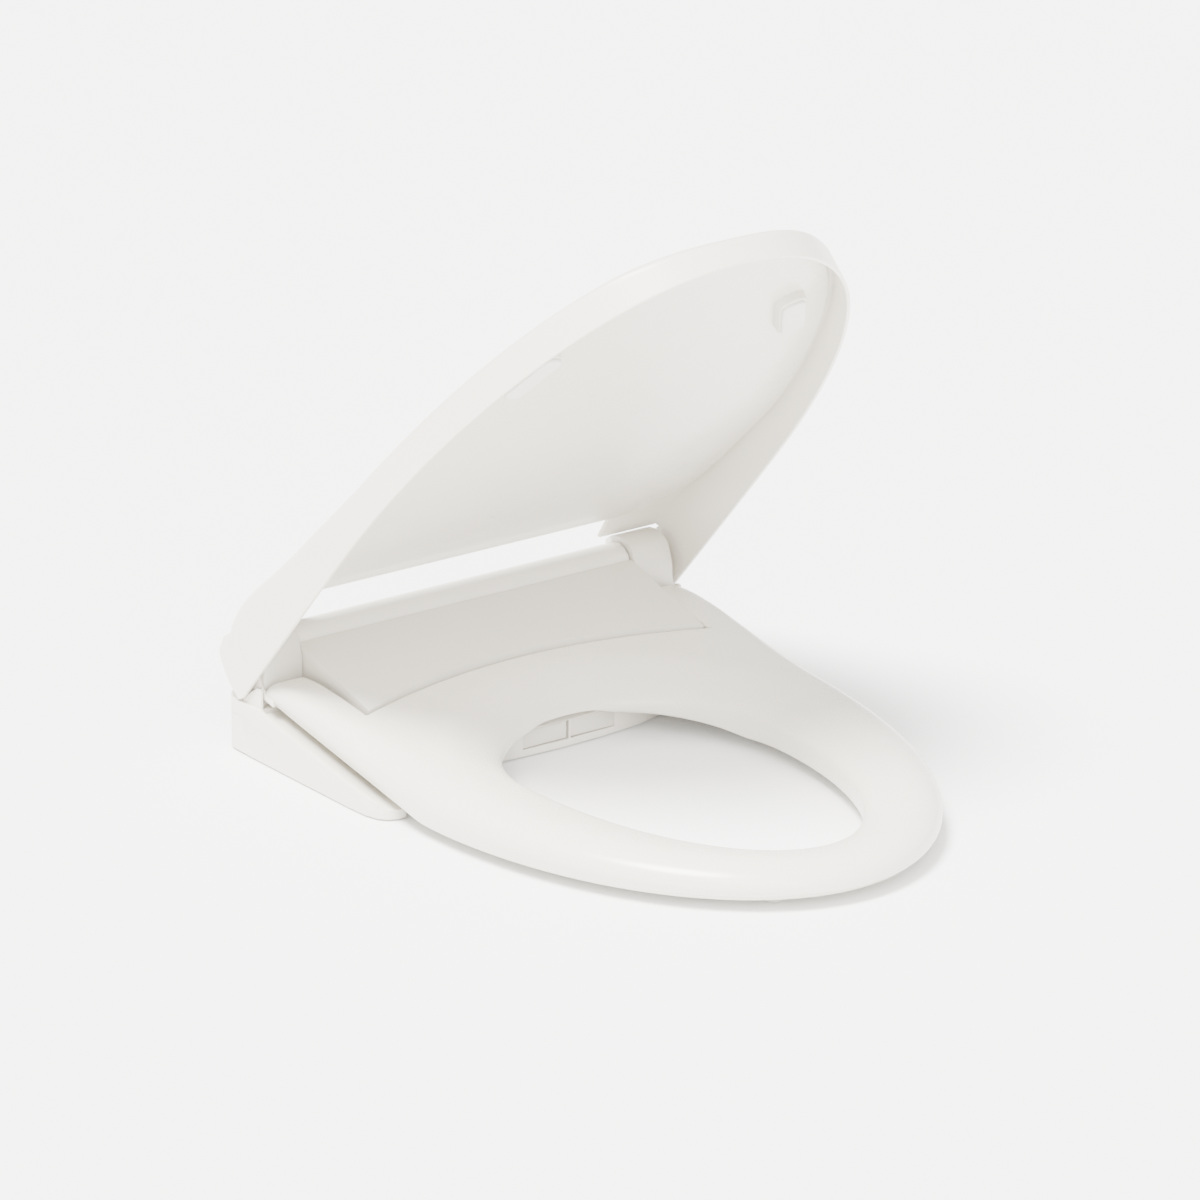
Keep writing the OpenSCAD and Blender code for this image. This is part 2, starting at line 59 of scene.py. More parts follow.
# ---- materials --------------------------------------------------------
def surface(name, col, rough, metal=0.0, peel=0.05, peel_scale=260.0, grain=0.05, grain_scale=1500.0,
            vary=0.06, tint=0.02, coat=0.0, sss=0.0, bands=None):
    """A moulded or turned surface: slow colour and roughness drift, orange peel and a fine grain."""
    m = bpy.data.materials.new(name)
    m.use_nodes = True
    nt = m.node_tree
    b = nt.nodes["Principled BSDF"]
    tc = nt.nodes.new("ShaderNodeTexCoord")

    def noise(scale, detail, rou=0.55):
        n = nt.nodes.new("ShaderNodeTexNoise")
        n.inputs["Scale"].default_value = scale
        n.inputs["Detail"].default_value = detail
        n.inputs["Roughness"].default_value = rou
        nt.links.new(tc.outputs["Object"], n.inputs["Vector"])
        return n.outputs["Fac"]
    slow, mid, fine = noise(9.0, 3.0), noise(peel_scale, 2.0), noise(grain_scale, 3.0)
    if bands:
        mp = nt.nodes.new("ShaderNodeMapping")
        mp.inputs["Scale"].default_value = bands
        nt.links.new(tc.outputs["Object"], mp.inputs["Vector"])
        bn = nt.nodes.new("ShaderNodeTexNoise")
        bn.inputs["Scale"].default_value = 60.0
        bn.inputs["Detail"].default_value = 4.0
        nt.links.new(mp.outputs["Vector"], bn.inputs["Vector"])
        fine = bn.outputs["Fac"]
    mix = nt.nodes.new("ShaderNodeMix")
    mix.data_type = "RGBA"
    mix.inputs[6].default_value = (*[c * (1 - tint) for c in col[:2]], col[2] * (1 - 1.8 * tint), 1)
    mix.inputs[7].default_value = (*[min(1.0, c * (1 + tint * .5)) for c in col], 1)
    nt.links.new(slow, mix.inputs[0])
    nt.links.new(mix.outputs[2], b.inputs["Base Color"])
    add = nt.nodes.new("ShaderNodeMath"); add.operation = "ADD"
    nt.links.new(slow, add.inputs[0]); nt.links.new(fine, add.inputs[1])
    mr = nt.nodes.new("ShaderNodeMapRange")
    mr.inputs["From Min"].default_value, mr.inputs["From Max"].default_value = 0.6, 1.4
    mr.inputs["To Min"].default_value, mr.inputs["To Max"].default_value = max(.03, rough - vary), rough + vary
    nt.links.new(add.outputs[0], mr.inputs["Value"])
    nt.links.new(mr.outputs["Result"], b.inputs["Roughness"])
    b.inputs["Metallic"].default_value = metal
    b.inputs["Coat Weight"].default_value = coat
    b.inputs["Coat Roughness"].default_value = 0.12
    b.inputs["Subsurface Weight"].default_value = sss
    b.inputs["Subsurface Radius"].default_value = (1.0, 0.85, 0.7)
    b.inputs["Subsurface Scale"].default_value = 0.002
    b1 = nt.nodes.new("ShaderNodeBump"); b1.inputs["Strength"].default_value = peel
    b1.inputs["Distance"].default_value = 0.0006
    b2 = nt.nodes.new("ShaderNodeBump"); b2.inputs["Strength"].default_value = grain
    b2.inputs["Distance"].default_value = 0.0002
    nt.links.new(mid, b1.inputs["Height"]); nt.links.new(fine, b2.inputs["Height"])
    nt.links.new(b1.outputs["Normal"], b2.inputs["Normal"])
    nt.links.new(b2.outputs["Normal"], b.inputs["Normal"])
    return m


WHITE = (0.75, 0.712, 0.64)
M = {
    "ring_abs": surface("ring_plastic", (0.77, 0.732, 0.655), 0.27, coat=0.15, sss=0.05),
    "lid_abs": surface("lid_plastic", (0.76, 0.722, 0.645), 0.33, coat=0.1, sss=0.05),
    # liner_abs (the liner and the lid's bumper pedestals) is a darker copy of the lid plastic: painted shade for the
    # lid's hollow
    "liner_abs": surface("liner_plastic_painted_shade", (0.70, 0.665, 0.595), 0.30, coat=0.1, sss=0.05),
    "white_abs": surface("housing_plastic", WHITE, 0.36, peel=0.07, grain=0.08, sss=0.04),
    # panel_abs is a darker copy of the housing white: painted shade from the open lid above; its rougher, finer grain
    # is the panel's own finish
    "panel_abs": surface("panel_plastic_painted_shade", (0.66, 0.626, 0.56), 0.42, peel=0.06, grain=0.14, grain_scale=2200.0),
    "grey_plastic": surface("grey_plastic", (0.20, 0.20, 0.21), 0.52, grain=0.2, vary=0.1, tint=0.08),
    "plate": surface("plate_plastic", (0.62, 0.62, 0.60), 0.55, grain=0.25, vary=0.08, tint=0.04),
    "dark_rubber": surface("dark_rubber", (0.035, 0.035, 0.036), 0.78, peel=0.15, grain=0.35, vary=0.1, tint=0.15),
    "pale_rubber": surface("pale_rubber", (0.70, 0.685, 0.65), 0.58, peel=0.10, grain=0.22, vary=0.08, tint=0.03, sss=0.1),
    "steel": surface("steel", (0.62, 0.62, 0.61), 0.30, metal=1.0, vary=0.10, tint=0.04, bands=(0.4, 9.0, 9.0)),
    "brass": surface("brass", (0.72, 0.54, 0.25), 0.32, metal=1.0, vary=0.12, tint=0.08, bands=(9.0, 0.4, 9.0)),
    "copper": surface("copper", (0.72, 0.38, 0.24), 0.34, metal=1.0, vary=0.14, tint=0.12),
    "foil": surface("foil", (0.80, 0.78, 0.74), 0.34, metal=0.9, peel=0.3, peel_scale=90.0, vary=0.12, tint=0.06),
    "tank_plastic": surface("tank_plastic", (0.74, 0.76, 0.77), 0.30, peel=0.12, vary=0.1, tint=0.04, sss=0.2),
    "hose": surface("hose", (0.66, 0.70, 0.72), 0.28, peel=0.1, vary=0.1, tint=0.05, sss=0.2),
    "gland": surface("gland_plastic", (0.80, 0.785, 0.75), 0.46, grain=0.18, vary=0.08, tint=0.03),
    "board": surface("board", (0.03, 0.16, 0.07), 0.38, peel=0.35, peel_scale=420.0, vary=0.14, tint=0.3, bands=(14.0, 1.0, 1.0)),
    "nozzle_abs": surface("nozzle_plastic", (0.78, 0.78, 0.765), 0.24, vary=0.07, tint=0.02, coat=0.2),
    "filter": surface("filter", (0.06, 0.06, 0.065), 0.62, peel=0.3, grain=0.3, vary=0.1, tint=0.2),
}
node_slot = {s["node"]: s["material_slot"] for s in frame["record"]["subparts"]}

# ---- smoothing of the CAD pieces that stay ------------------------------
def smooth_group():
    g = bpy.data.node_groups.new("shade_by_angle", "GeometryNodeTree")
    g.interface.new_socket("Geometry", in_out="INPUT", socket_type="NodeSocketGeometry")
    g.interface.new_socket("Geometry", in_out="OUTPUT", socket_type="NodeSocketGeometry")
    i, o = g.nodes.new("NodeGroupInput"), g.nodes.new("NodeGroupOutput")
    f = g.nodes.new("GeometryNodeSetShadeSmooth"); f.domain = "FACE"; f.inputs["Shade Smooth"].default_value = True
    ed = g.nodes.new("GeometryNodeSetShadeSmooth"); ed.domain = "EDGE"; ed.inputs["Shade Smooth"].default_value = False
    an = g.nodes.new("GeometryNodeInputMeshEdgeAngle")
    cp = g.nodes.new("FunctionNodeCompare"); cp.data_type = "FLOAT"; cp.operation = "GREATER_THAN"
    cp.inputs[1].default_value = math.radians(38)
    L = g.links.new
    L(i.outputs[0], f.inputs["Geometry"]); L(f.outputs[0], ed.inputs["Geometry"])
    L(an.outputs[0], cp.inputs[0]); L(cp.outputs[0], ed.inputs["Selection"]); L(ed.outputs[0], o.inputs[0])
    return g


SMOOTH = smooth_group()


def dress(obj, width, segments=3, angle=32):
    w = obj.modifiers.new("weld", "WELD"); w.merge_threshold = 1e-5
    d = obj.modifiers.new("planar", "DECIMATE"); d.decimate_type = "DISSOLVE"; d.angle_limit = math.radians(0.4)
    if width:
        b = obj.modifiers.new("bevel", "BEVEL")
        b.width, b.segments, b.limit_method, b.angle_limit = width * MM, segments, "ANGLE", math.radians(angle)
        b.use_clamp_overlap = True
        b.miter_outer = "MITER_ARC"
    s = obj.modifiers.new("shade", "NODES"); s.node_group = SMOOTH


BEVEL = {"base_housing": 1.2, "top_cover": 1.1, "rear_cover": 1.4, "side_cap_left": 0.7, "side_cap_right": 0.7,
         "hinge_towers": 1.4, "nozzle_door": 0.5, "dryer_flap": 0.4, "filter_cover": 0.5, "release_button": 0.7,
         "mounting_plate": 0.7, "unit_feet": 0.4, "ring_bumpers": 1.4, "water_inlet": 0.5, "cord_gland": 0.7,
         "nozzle_wand": 0.5, "nozzle_tip": 0.7, "water_tank": 1.5, "water_pump": 1.0, "solenoid_valve": 0.8,
         "fan_housing": 0.8, "nozzle_motor": 0.8, "hinge_bushes": 0.4, "hinge_dampers": 0.5, "case_screws": 0.25,
         "plate_pads": 0.3, "filter_cartridge": 0.5}
for n, o in frame["nodes"].items():
    o.data.materials.clear()
    o.data.materials.append(M[node_slot[n]])
    dress(o, BEVEL.get(n, 0.3), 3)


# ---- mesh helpers (millimetres) -----------------------------------------
def curve(pts):
    p = sorted(pts)
    X = np.array([a for a, _ in p], float); Y = np.array([b for _, b in p], float)
    h = np.diff(X); dl = np.diff(Y) / h
    m = np.zeros(len(X))
    for i in range(1, len(X) - 1):
        if dl[i - 1] * dl[i] > 0:
            w1, w2 = 2 * h[i] + h[i - 1], h[i] + 2 * h[i - 1]
            m[i] = (w1 + w2) / (w1 / dl[i - 1] + w2 / dl[i])
    m[0], m[-1] = dl[0], dl[-1]

    def f(x):
        x = np.clip(x, X[0], X[-1])
        i = np.clip(np.searchsorted(X, x) - 1, 0, len(h) - 1)
        t = (x - X[i]) / h[i]
        return ((2 * t**3 - 3 * t**2 + 1) * Y[i] + (t**3 - 2 * t**2 + t) * h[i] * m[i]
                + (3 * t**2 - 2 * t**3) * Y[i + 1] + (t**3 - t**2) * h[i] * m[i + 1])
    return f


def step01(a, b, x):
    t = np.clip((x - a) / (b - a), 0, 1)
    return t * t * (3 - 2 * t)


def resamp(pts, step):
    p = np.asarray(pts, float)
    s = np.r_[0, np.cumsum(np.hypot(*np.diff(p, axis=0).T))]
    t = np.linspace(0, s[-1], max(1, int(round(s[-1] / step))) + 1)
    return np.c_[np.interp(t, s, p[:, 0]), np.interp(t, s, p[:, 1])]


def half_outline(hw, hr, yr, yw, yn, p, n=160):
    """Right half of a seat outline, from the rear end to the nose."""
    a = [(hw - (hw - hr) * (1 - t)**2, yr + (yw - yr) * t) for t in np.linspace(0, 1, 40)[:-1]]
    b = [(hw * math.cos(u)**(2 / p), yw - (yw - yn) * math.sin(u)**(2 / p)) for u in np.linspace(0, math.pi / 2, n)[:-1]]
    return a + b + [(0.0, yn)]


def mirror_path(p):
    return [(-x, y) for x, y in p[::-1]]


def seg_dist(P, S):
    out = np.full(len(P), 1e9)
    for k in range(0, len(P), 1500):
        q = P[k:k + 1500, None, :]
        a, ab = S[None, :, :2], (S[:, 2:] - S[:, :2])[None]
        t = np.clip(((q - a) * ab).sum(2) / np.maximum((ab**2).sum(2), 1e-12), 0, 1)
        d = q - a - ab * t[..., None]
        out[k:k + 1500] = np.sqrt((d**2).sum(2).min(1))
    return out


def inside(P, loop):
    r = np.zeros(len(P), bool)
    x, y = P[:, 0], P[:, 1]
    a, b = loop, np.roll(loop, -1, 0)
    for (x0, y0), (x1, y1) in zip(a, b):
        if y0 != y1:
            c = ((y0 > y) != (y1 > y)) & (x < (x1 - x0) * (y - y0) / (y1 - y0) + x0)
            r ^= c
    return r


def mesh_fill(loops, extra):
    """Triangles over the region inside the first loop and outside the others."""
    V = np.vstack(list(loops) + ([extra] if len(extra) else []))
    E, k = [], 0
    for lp in loops:
        n = len(lp)
        E += [(k + i, k + (i + 1) % n) for i in range(n)]
        k += n
    ov, _, of_, orig, _, _ = delaunay_2d_cdt([Vector(v) for v in V.tolist()], E, [], 0, 1e-6)
    P = np.array([tuple(v) for v in ov])
    mp = np.full(len(V), -1)
    for i, lst in enumerate(orig):
        for j in lst:
            if j < len(V):
                mp[j] = i
    F = np.array([f for f in of_ if len(f) == 3])
    C = P[F].mean(1)
    ok = inside(C, loops[0])
    for lp in loops[1:]:
        ok &= ~inside(C, lp)
    return P, F[ok], mp


def slab(loops, ztop, zbot=None, rings={}, step=6.0, inset=None, levels=(0.12, 0.3, 0.5, 0.7, 0.85, 0.95, 1.0),
         wall=None, bottom=True, cell=16.0):
    """Verts and faces (mm) of a moulded piece: a filled outline with a shaped top, walls and a bottom.
    loops are lists of (tag, points, spacing). ztop(x, y, D) gets the distance to each tagged edge."""
    L, T = [], []
    for lp in loops:
        pts, tg = [], []
        for tag, p, st in lp:
            r = resamp(p, st)[:-1]
            pts += list(r); tg += [tag] * len(r)
        L.append(np.array(pts)); T.append(tg)
    N, segs = [], {}
    for k, p in enumerate(L):
        nx = np.roll(p, -1, 0)
        sg = 1 if np.sum(p[:, 0] * nx[:, 1] - nx[:, 0] * p[:, 1]) > 0 else -1
        if k:
            sg = -sg
        e = nx - p
        e /= np.maximum(np.hypot(*e.T), 1e-9)[:, None]
        n = np.c_[-e[:, 1], e[:, 0]] * sg
        n0 = np.roll(n, 1, 0)
        N.append((n + n0) / np.maximum(1 + (n * n0).sum(1), 0.35)[:, None])
        for i, t in enumerate(T[k]):
            segs.setdefault(t, []).append([*p[i], *nx[i]])
    segs = {t: np.array(s) for t, s in segs.items()}
    allseg = np.vstack(list(segs.values()))
    ring_pts = []
    for k, p in enumerate(L):
        for t in set(T[k]):
            idx = np.array([i for i, u in enumerate(T[k]) if u == t])
            for d in rings.get(t, ()):
                c = p[idx] + N[k][idx] * d
                ring_pts.append(c[seg_dist(c, allseg) > 0.94 * d])
    ring_pts = np.vstack(ring_pts) if ring_pts else np.zeros((0, 2))
    lo, hi = L[0].min(0), L[0].max(0)
    gx, gy = np.meshgrid(np.arange(lo[0], hi[0], step), np.arange(lo[1], hi[1], step * 0.87))
    gx[1::2] += step / 2
    G = np.c_[gx.ravel(), gy.ravel()]
    ok = inside(G, L[0])
    for lp in L[1:]:
        ok &= ~inside(G, lp)
    G = G[ok]
    base = np.vstack(L + [ring_pts])
    kd = kdtree.KDTree(len(base))
    for i, q in enumerate(base):
        kd.insert((q[0], q[1], 0), i)
    kd.balance()
    if len(G):
        G = G[[kd.find((q[0], q[1], 0))[2] > 0.55 * step for q in G]]
    P, F, mp = mesh_fill(L, np.vstack([ring_pts, G]))
    D = {t: seg_dist(P, s) for t, s in segs.items()}
    V = np.c_[P, ztop(P[:, 0], P[:, 1], D)]
    faces = [tuple(f) for f in F]
    verts = [V]
    k0, n_all, low = 0, len(V), []
    for k, p in enumerate(L):
        n = len(p)
        top_idx = mp[k0:k0 + n]
        k0 += n
        zt = V[top_idx, 2]
        ins = np.array([inset.get(t, 0.0) if inset else 0.0 for t in T[k]])
        if inset:
            for _ in range(3):
                ins = (np.roll(ins, 1) + 2 * ins + np.roll(ins, -1)) / 4
        prev = top_idx
        for t in levels:
            q = p + N[k] * (ins * t**2.4)[:, None]
            zb = zbot(q[:, 0], q[:, 1])
            W = np.c_[q, zt + (zb - zt) * t]
            cur = np.arange(n_all, n_all + n)
            n_all += n
            verts.append(W)
            for i in range(n):
                j = (i + 1) % n
                if wall is None or T[k][i] in wall:
                    faces.append((prev[i], prev[j], cur[j], cur[i]))
            prev = cur
        low.append((q, prev))
    if bottom:
        lp = [q for q, _ in low]
        gx, gy = np.meshgrid(np.arange(lo[0], hi[0], cell), np.arange(lo[1], hi[1], cell))
        G = np.c_[gx.ravel(), gy.ravel()]
        ok = inside(G, lp[0])
        for q in lp[1:]:
            ok &= ~inside(G, q)
        G = G[ok]
        G = G[seg_dist(G, allseg) > cell * 0.5] if len(G) else G
        P2, F2, mp2 = mesh_fill(lp, G)
        idx = np.full(len(P2), -1)
        k0 = 0
        for q, ids in low:
            idx[mp2[k0:k0 + len(q)]] = ids
            k0 += len(q)
        new = np.where(idx < 0)[0]
        idx[new] = np.arange(n_all, n_all + len(new))
        verts.append(np.c_[P2[new], zbot(P2[new, 0], P2[new, 1])])
        faces += [tuple(idx[f][::-1]) for f in F2]
    return np.vstack(verts), faces


def piece(name, parts, body, slot, replaces=(), tf=None, sharp=34, mods=None, normals=True):
    """One object from (verts, faces) parts in mm."""
    bm = bmesh.new()
    for V, F in parts:
        V = np.asarray(V, float)
        if tf is not None:
            V = tf(V)
        vs = [bm.verts.new(Vector(v) * MM) for v in V.tolist()]
        for f in F:
            f = [int(i) for i in f]
            if len(set(f)) > 2:
                try:
                    bm.faces.new([vs[i] for i in f])
                except ValueError:
                    pass
    bmesh.ops.remove_doubles(bm, verts=bm.verts, dist=2e-6)
    bmesh.ops.delete(bm, geom=[v for v in bm.verts if not v.link_faces], context="VERTS")
    if normals:
        bmesh.ops.recalc_face_normals(bm, faces=bm.faces)
    me = bpy.data.meshes.new(name)
    bm.to_mesh(me); bm.free()
    me.shade_smooth()
    ob = bpy.data.objects.new(name, me)
    bpy.context.scene.collection.objects.link(ob)
    me.materials.append(M[slot])
    if mods:
        mods(ob)
        s = ob.modifiers.new("shade", "NODES"); s.node_group = SMOOTH
    else:
        me.set_sharp_from_angle(angle=math.radians(sharp))
    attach(ob, body)
    if replaces:
        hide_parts(*replaces)
    return ob


def flipx(part):
    V, F = part
    W = V.copy(); W[:, 0] *= -1
    return W, [f[::-1] for f in F]


def arc_d(w, n=9):
    return [w * (1 - math.cos(math.radians(90 * i / n))) for i in range(1, n + 1)]


def roll(d, w, h, p=2.0):
    u = np.clip(1 - d / w, 0, 1)
    return h * (1 - (1 - u**p)**(1 / p))


# ---- seat ring ------------------------------------------------------------
HW, NOSE, HOLE_Y, HOLE_HW, HOLE_NOSE = 185.8, -449.0, -198.0, 109.0, -400.0
ring_top = curve([(27, 59), (18, 60), (5, 60.6), (-20, 59), (-56, 54.5), (-100, 49), (-150, 44.7), (-200, 41.6),
                  (-300, 37.5), (-390, 34.5), (-428, 32.5), (-450, 29)])
ring_bot0 = curve([(27, 42.4), (14, 39.8), (-40, 30.2), (-100, 19.8), (-140, 12.6), (-166, 8.4), (-200, 8), (-450, 8)])
front_bot = curve([(-95, 21), (-88, 26.4), (-60, 35.6), (-37, 43.6), (40, 62)])
dish_amt = curve([(-80, 13), (-100, 12), (-150, 8.5), (-200, 5.5), (-300, 3), (-400, 2)])


def cover_front(x, y0, y1):
    return y0 + (y1 - y0) * (np.abs(x) / 151.0)**2


def ring_low(x, y):
    z = ring_bot0(y)
    m = (1 - step01(150.5, 154.5, np.abs(x))) * step01(-96, -90, y)
    return z + (np.maximum(front_bot(y), z) - z) * m


def ring_loops(t):
    outer = half_outline(HW - t, 184.5 - t, 26 - t, -162, NOSE + t, 2.0)
    xs = np.linspace(-153.2 + t, 153.2 - t, 90) if t < 0 else np.linspace(-153.2 - t, 153.2 + t, 90)
    front = [(x, float(cover_front(x, -32.4 - t, -57.4 - t))) for x in xs]
    c = front[0]
    o = [("outer", outer + mirror_path(outer)[1:], 2.6),
         ("rear", [(-184.5 + t, 26 - t), (-153.2 - t, 26 - t)], 1.6),
         ("side", [(-153.2 - t, 26 - t), c], 3.0),
         ("front", front, 2.6),
         ("side", [front[-1], (153.2 + t, 26 - t)], 3.0),
         ("rear", [(153.2 + t, 26 - t), (184.5 - t, 26 - t)], 1.6)]
    h = [((HOLE_HW + t) * math.cos(a), HOLE_Y + (HOLE_HW + t) * math.sin(a)) for a in np.linspace(0, math.pi, 90)]
    h += [(-(HOLE_HW + t) * math.cos(a), HOLE_Y - (HOLE_Y - HOLE_NOSE + t) * math.sin(a)) for a in np.linspace(0, math.pi, 120)[1:]]
    return [o, [("hole", h, 2.4)]]


def ring_z(x, y, D):
    z = ring_top(y)
    slope = dish_amt(y) * (1 - step01(-6, 46, D["hole"])) / (1 - step01(-6, 46, 0.0))
    arm = step01(-150, 0, y)
    dr = [roll(D["outer"], 27 - 15 * arm, 15 - 7 * arm, 2.1), roll(D["hole"], 17, 9.0, 2.0),
          roll(D["front"], 2.6, 2.2), roll(D["side"], 2.6, 2.2), roll(D["rear"], 7, 6)]
    z = z - slope - np.sqrt(sum(q * q for q in dr))
    crown = 1.2 * step01(0, 40, D["outer"]) * step01(0, 34, D["hole"]) * (1 - arm)
    return z + crown - 0.6


RINGS = {"outer": arc_d(27, 11) + [33, 40], "hole": arc_d(17, 9) + [23, 30], "front": arc_d(2.6, 4) + [5.5, 9],
         "side": arc_d(2.6, 4) + [5], "rear": arc_d(7, 5)}
up = slab(ring_loops(0), ring_z, lambda x, y: ring_low(x, y) + 3.4, RINGS, 6.0, inset={"outer": 3.2, "hole": 1.2})
piece("seat_ring_shell", [up], "ring", "ring_abs", ["ring_upper"], sharp=50)
lowr = slab(ring_loops(5.4), lambda x, y, D: ring_low(x, y) + 3.1, lambda x, y: ring_low(x, y) + 0.0, {}, 14.0,
            inset={"outer": 1.4, "hole": 1.0, "front": 0.4, "side": 0.4, "rear": 0.4}, levels=(0.35, 0.7, 1.0))
piece("seat_ring_base", [lowr], "ring", "ring_abs", ["ring_lower"], sharp=40)

# cheeks that carry the ring on the hinge bushes
cheek = [(14, 44), (14, 48.5), (24, 50.2), (30, 56), (33.5, 64), (38, 72), (44, 77), (50, 78.2), (56, 77), (60, 73), (62, 66), (60, 59), (54, 54.8), (44, 54), (32, 47.5)]
hub = [(50 + 8.05 * math.cos(a), 66 + 8.05 * math.sin(a)) for a in np.linspace(0, 2 * math.pi, 49)]
ck = slab([[("edge", cheek + [cheek[0]], 1.2)], [("bore", hub, 1.1)]],
          lambda x, y, D: 185.8 - roll(np.minimum(D["edge"], D["bore"] + 0.6), 0.7, 0.7),
          lambda x, y: np.full(len(x), 183.4), {"edge": [0.2, 0.7]}, 4.0, levels=(0.5, 1.0))
ck = (ck[0][:, [2, 0, 1]], ck[1])
piece("seat_hinge_cheeks", [ck, flipx(ck)], "ring", "ring_abs", sharp=40)

# ---- lid -------------------------------------------------------------------
LA, LB, LT, LIDHW, LIDLEN = 11.9, 19.6, 3.0, 193.5, 522.6
ROT = math.radians(2.8 - 50.8)
CR, SR = math.cos(ROT), math.sin(ROT)


def to_lid(V):
    x, y, z = V.T
    return np.c_[x, 50 + y * CR - z * SR, 66 + y * SR + z * CR]


lid_thick = curve([(-6.5, 34), (-4, 36.5), (2, 42), (26, 46.5), (53, 49.6), (81, 46.8), (110, 42.2), (138, 38.5), (169, 35.5),
                   (226, 30), (250, 28.6), (318, 27.6), (420, 27.4), (490, 27.2), (510, 25.0), (522.6, 21.4)])


def lid_half(t, yr, n=160):
    return half_outline(LIDHW - t, LIDHW - 1.5 - t, yr, LA - 184, LA - LIDLEN + t, 2.1, n)


def lid_dome(x, y, D):
    return lid_thick(LA - y) - LB - roll(D["outer"], 6.5, 5.0) - roll(D.get("cut", np.full(len(x), 99.0)), 1.2, 0.8)


Y26, Y50 = LA - 26, LA - 50
full = lid_half(0, LA + 6.5)
side = [q for q in full if q[1] < Y26 - 0.2]
xr = float(np.interp(-Y26, [-q[1] for q in full], [q[0] for q in full]))
side = [(xr, Y26)] + side
dome_loop = [("outer", side + mirror_path(side)[1:], 2.6), ("back", [(-xr, Y26), (-137, Y26)], 2.5),
             ("cut", [(-137, Y26), (-137, Y50 + 6), (-135.5, Y50 + 1.5), (-131, Y50)], 1.4), ("cut", [(-131, Y50), (131, Y50)], 4.0),
             ("cut", [(131, Y50), (135.5, Y50 + 1.5), (137, Y50 + 6), (137, Y26)], 1.4), ("back", [(137, Y26), (xr, Y26)], 2.5)]
LV = (0.1, 0.3, 0.55, 0.8, 0.93, 1.0)
rim_z = curve([(-6.5, 3.0), (-3.5, 0.9), (0, 0.0), (20, 0.0), (522.6, 0.0)])
dome = slab([dome_loop], lid_dome, lambda x, y: rim_z(LA - y) - LB, {"outer": arc_d(6.5, 7) + [10, 16, 22], "cut": [0.4, 1.2, 4]}, 8.0,
            levels=LV, wall={"outer"}, bottom=False)


def ear(part):
    """Side plate of the lid behind the dome, sharing the wall's last column."""
    V = part[0]
    tail = [q for q in full if q[1] > Y26 + 0.2]
    tail = resamp([(xr, Y26)] + tail[::-1], 1.6)
    pts, faces, n = [], [], len(LV) + 1
    for i, (x, y) in enumerate(tail):
        a = LA - y
        k = step01(0, 12, 26 - a)
        top = float(lid_thick(a)) - LB - 5.0 + 4.2 * float(k)
        top -= float(roll(np.array([a + 6.5]), 9.0, 16.0)[0])
        bot = float(rim_z(a)) - LB
        for t in (0.0,) + LV:
            pts.append((x, y, top + (bot - top) * t))
    for i in range(len(tail) - 1):
        for j in range(n - 1):
            a = i * n + j
            faces.append((a, a + 1, a + n + 1, a + n))
    return np.array(pts), faces


def lid_mods(ob):
    s = ob.modifiers.new("wall", "SOLIDIFY")
    s.thickness, s.offset, s.use_even_offset, s.use_quality_normals = 2.6 * MM, -1.0, True, True
    b = ob.modifiers.new("edge", "BEVEL")
    b.width, b.segments, b.limit_method, b.angle_limit = 0.7 * MM, 2, "ANGLE", math.radians(55)


er = ear(dome)
lid_ob = piece("lid_outer_shell", [dome, er, flipx(er)], "lid", "lid_abs", ["lid_shell"], tf=to_lid, mods=lid_mods)

LR, LI, RC = LA - 54, 5.4, 46.0
lh = lid_half(LI, LA + 3)
xl = float(np.interp(-(LR - RC), [-q[1] for q in lh], [q[0] for q in lh]))
li = [q for q in lh if q[1] < LR - RC - 0.2]
corner = [(xl - RC * 1.15 * (1 - math.cos(u)), LR - RC + RC * math.sin(u)) for u in np.linspace(math.pi / 2, 0, 24)]
xc = corner[0][0]
liner_loop = [("outer", corner + li + mirror_path(corner + li)[1:], 2.4), ("cut", [(-xc, LR), (xc, LR)], 3.0)]


def liner_z(x, y, D):
    z = lid_thick(LA - y) - 8.0 - LB
    d = np.minimum(D["outer"], D["cut"] + 1.0)
    return z + roll(D["outer"], 3.2, 2.6) + roll(D["cut"], 3.2, 2.6) + 1.6 * step01(30, 0, d)


ln = slab([liner_loop], liner_z, lambda x, y: lid_thick(LA - y) - 3.0 - LB,
          {"outer": arc_d(3.2, 6) + [6, 10, 16, 24], "cut": arc_d(3.2, 6) + [6, 12]}, 7.0, levels=(0.5, 1.0))
piece("lid_inner_liner", [ln], "lid", "liner_abs", ["lid_liner"], tf=to_lid, sharp=50)


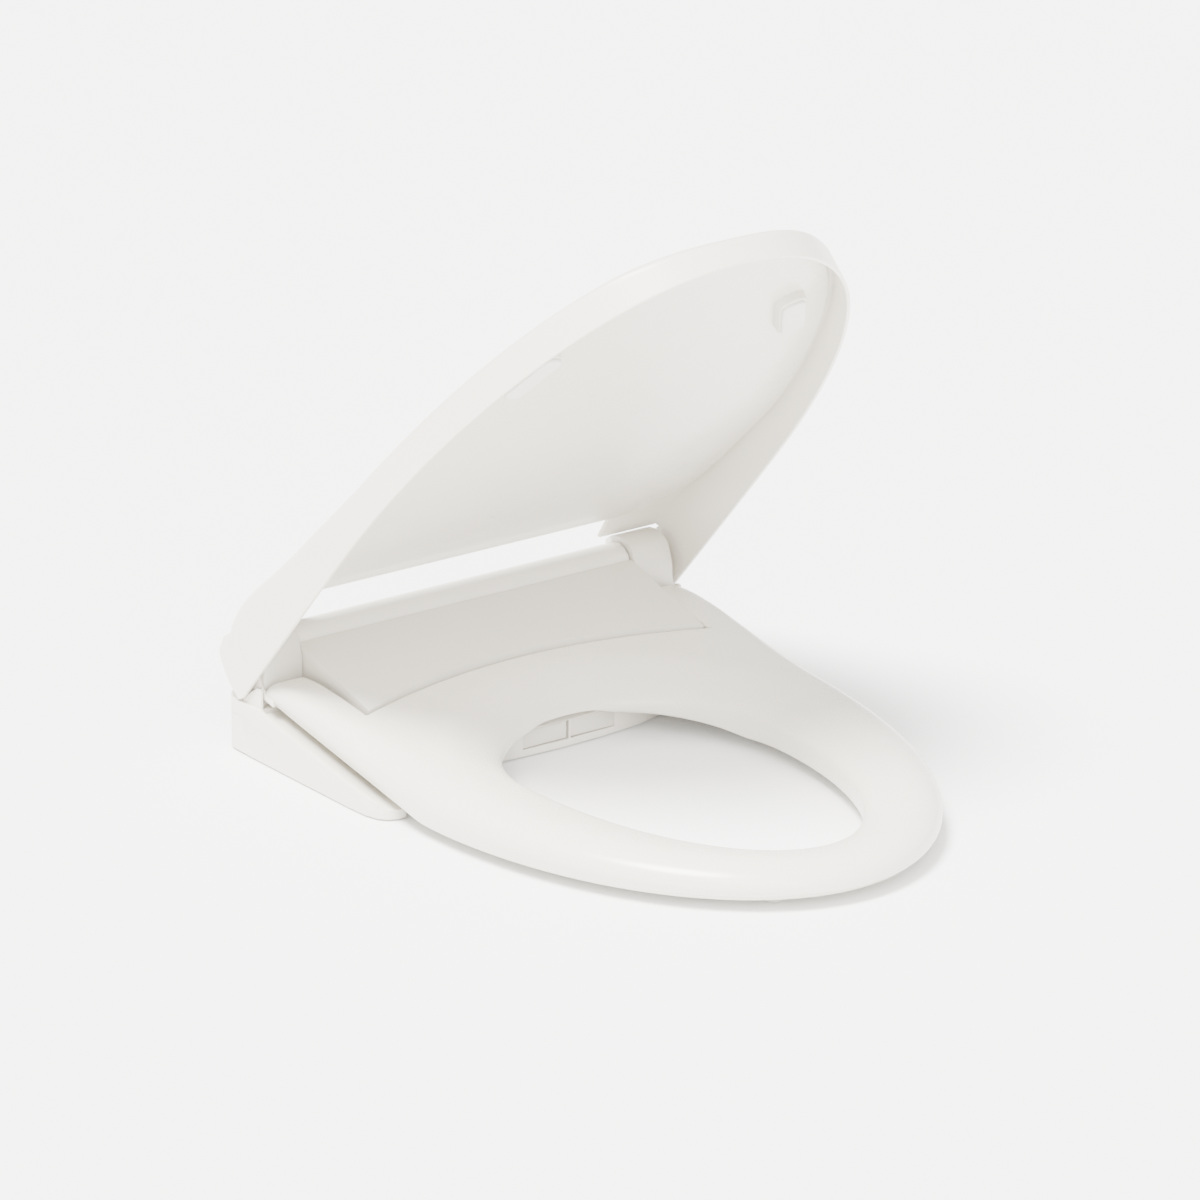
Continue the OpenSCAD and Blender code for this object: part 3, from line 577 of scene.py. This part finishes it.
def pad(cx, cy, hx, hy, turn, r, z_face, z_back, w, h, draft=0.0):
    q, ct, st = [], math.cos(turn), math.sin(turn)
    for sx, sy, a0 in ((1, -1, -90), (1, 1, 0), (-1, 1, 90), (-1, -1, 180)):
        for a in np.linspace(a0, a0 + 90, 9):
            u = sx * (hx - r) + r * math.cos(math.radians(a))
            v = sy * (hy - r) + r * math.sin(math.radians(a))
            q.append((cx + u * ct - v * st, cy + u * st + v * ct))
    q.append(q[0])
    return slab([[("edge", q, 1.1)]], lambda x, y, D: z_face + roll(D["edge"], w, h), lambda x, y: np.full(len(x), z_back),
                {"edge": arc_d(w, 6)}, 3.5, inset={"edge": -draft} if draft else None, levels=(0.4, 0.8, 1.0))


bx, by, bt = 114.0, LA - 391, math.radians(-25.5)
mt = pad(bx, by, 11.2, 26.0, bt, 8.0, 12.8 - LB, 20.6 - LB, 1.6, 1.6, 0.8)
piece("lid_bumper_pedestals", [mt, flipx(mt)], "lid", "liner_abs", ["lid_bumper_mounts"], tf=to_lid, sharp=45)
bp = pad(bx, by, 9.4, 24.0, bt, 7.0, 10.0 - LB, 13.2 - LB, 1.8, 1.5)
piece("lid_bumper_pads", [bp, flipx(bp)], "lid", "pale_rubber", ["lid_bumpers"], tf=to_lid, sharp=45)

# ---- floor and light -----------------------------------------------------------
bm = bmesh.new()
bmesh.ops.create_grid(bm, x_segments=8, y_segments=8, size=14.0)
fm = bpy.data.meshes.new("floor"); bm.to_mesh(fm); bm.free()
floor = bpy.data.objects.new("floor", fm)
bpy.context.scene.collection.objects.link(floor)
fm.materials.append(surface("floor_paper", (0.97, 0.97, 0.97), 0.9, peel=0.0, grain=0.02, vary=0.02, tint=0.004))


def sun(name, frm, angle, power, col=(1, 1, 1)):
    d = bpy.data.lights.new(name, "SUN"); d.angle = math.radians(angle); d.energy = power; d.color = col
    o = bpy.data.objects.new(name, d); bpy.context.scene.collection.objects.link(o)
    o.location = Vector(frm) * 2; o.rotation_mode = "QUATERNION"
    o.rotation_quaternion = (-Vector(frm)).to_track_quat("-Z", "Y")


sun("key", (-0.75, -0.05, 1.9), 24, 15.0, (1.0, 0.995, 0.975))
sun("front", (-0.45, -1.0, 0.75), 50, 3.4)
w = bpy.data.worlds.new("world"); bpy.context.scene.world = w; w.use_nodes = True
w.node_tree.nodes["Background"].inputs[0].default_value = (1, 1, 1, 1)
w.node_tree.nodes["Background"].inputs[1].default_value = 1.7
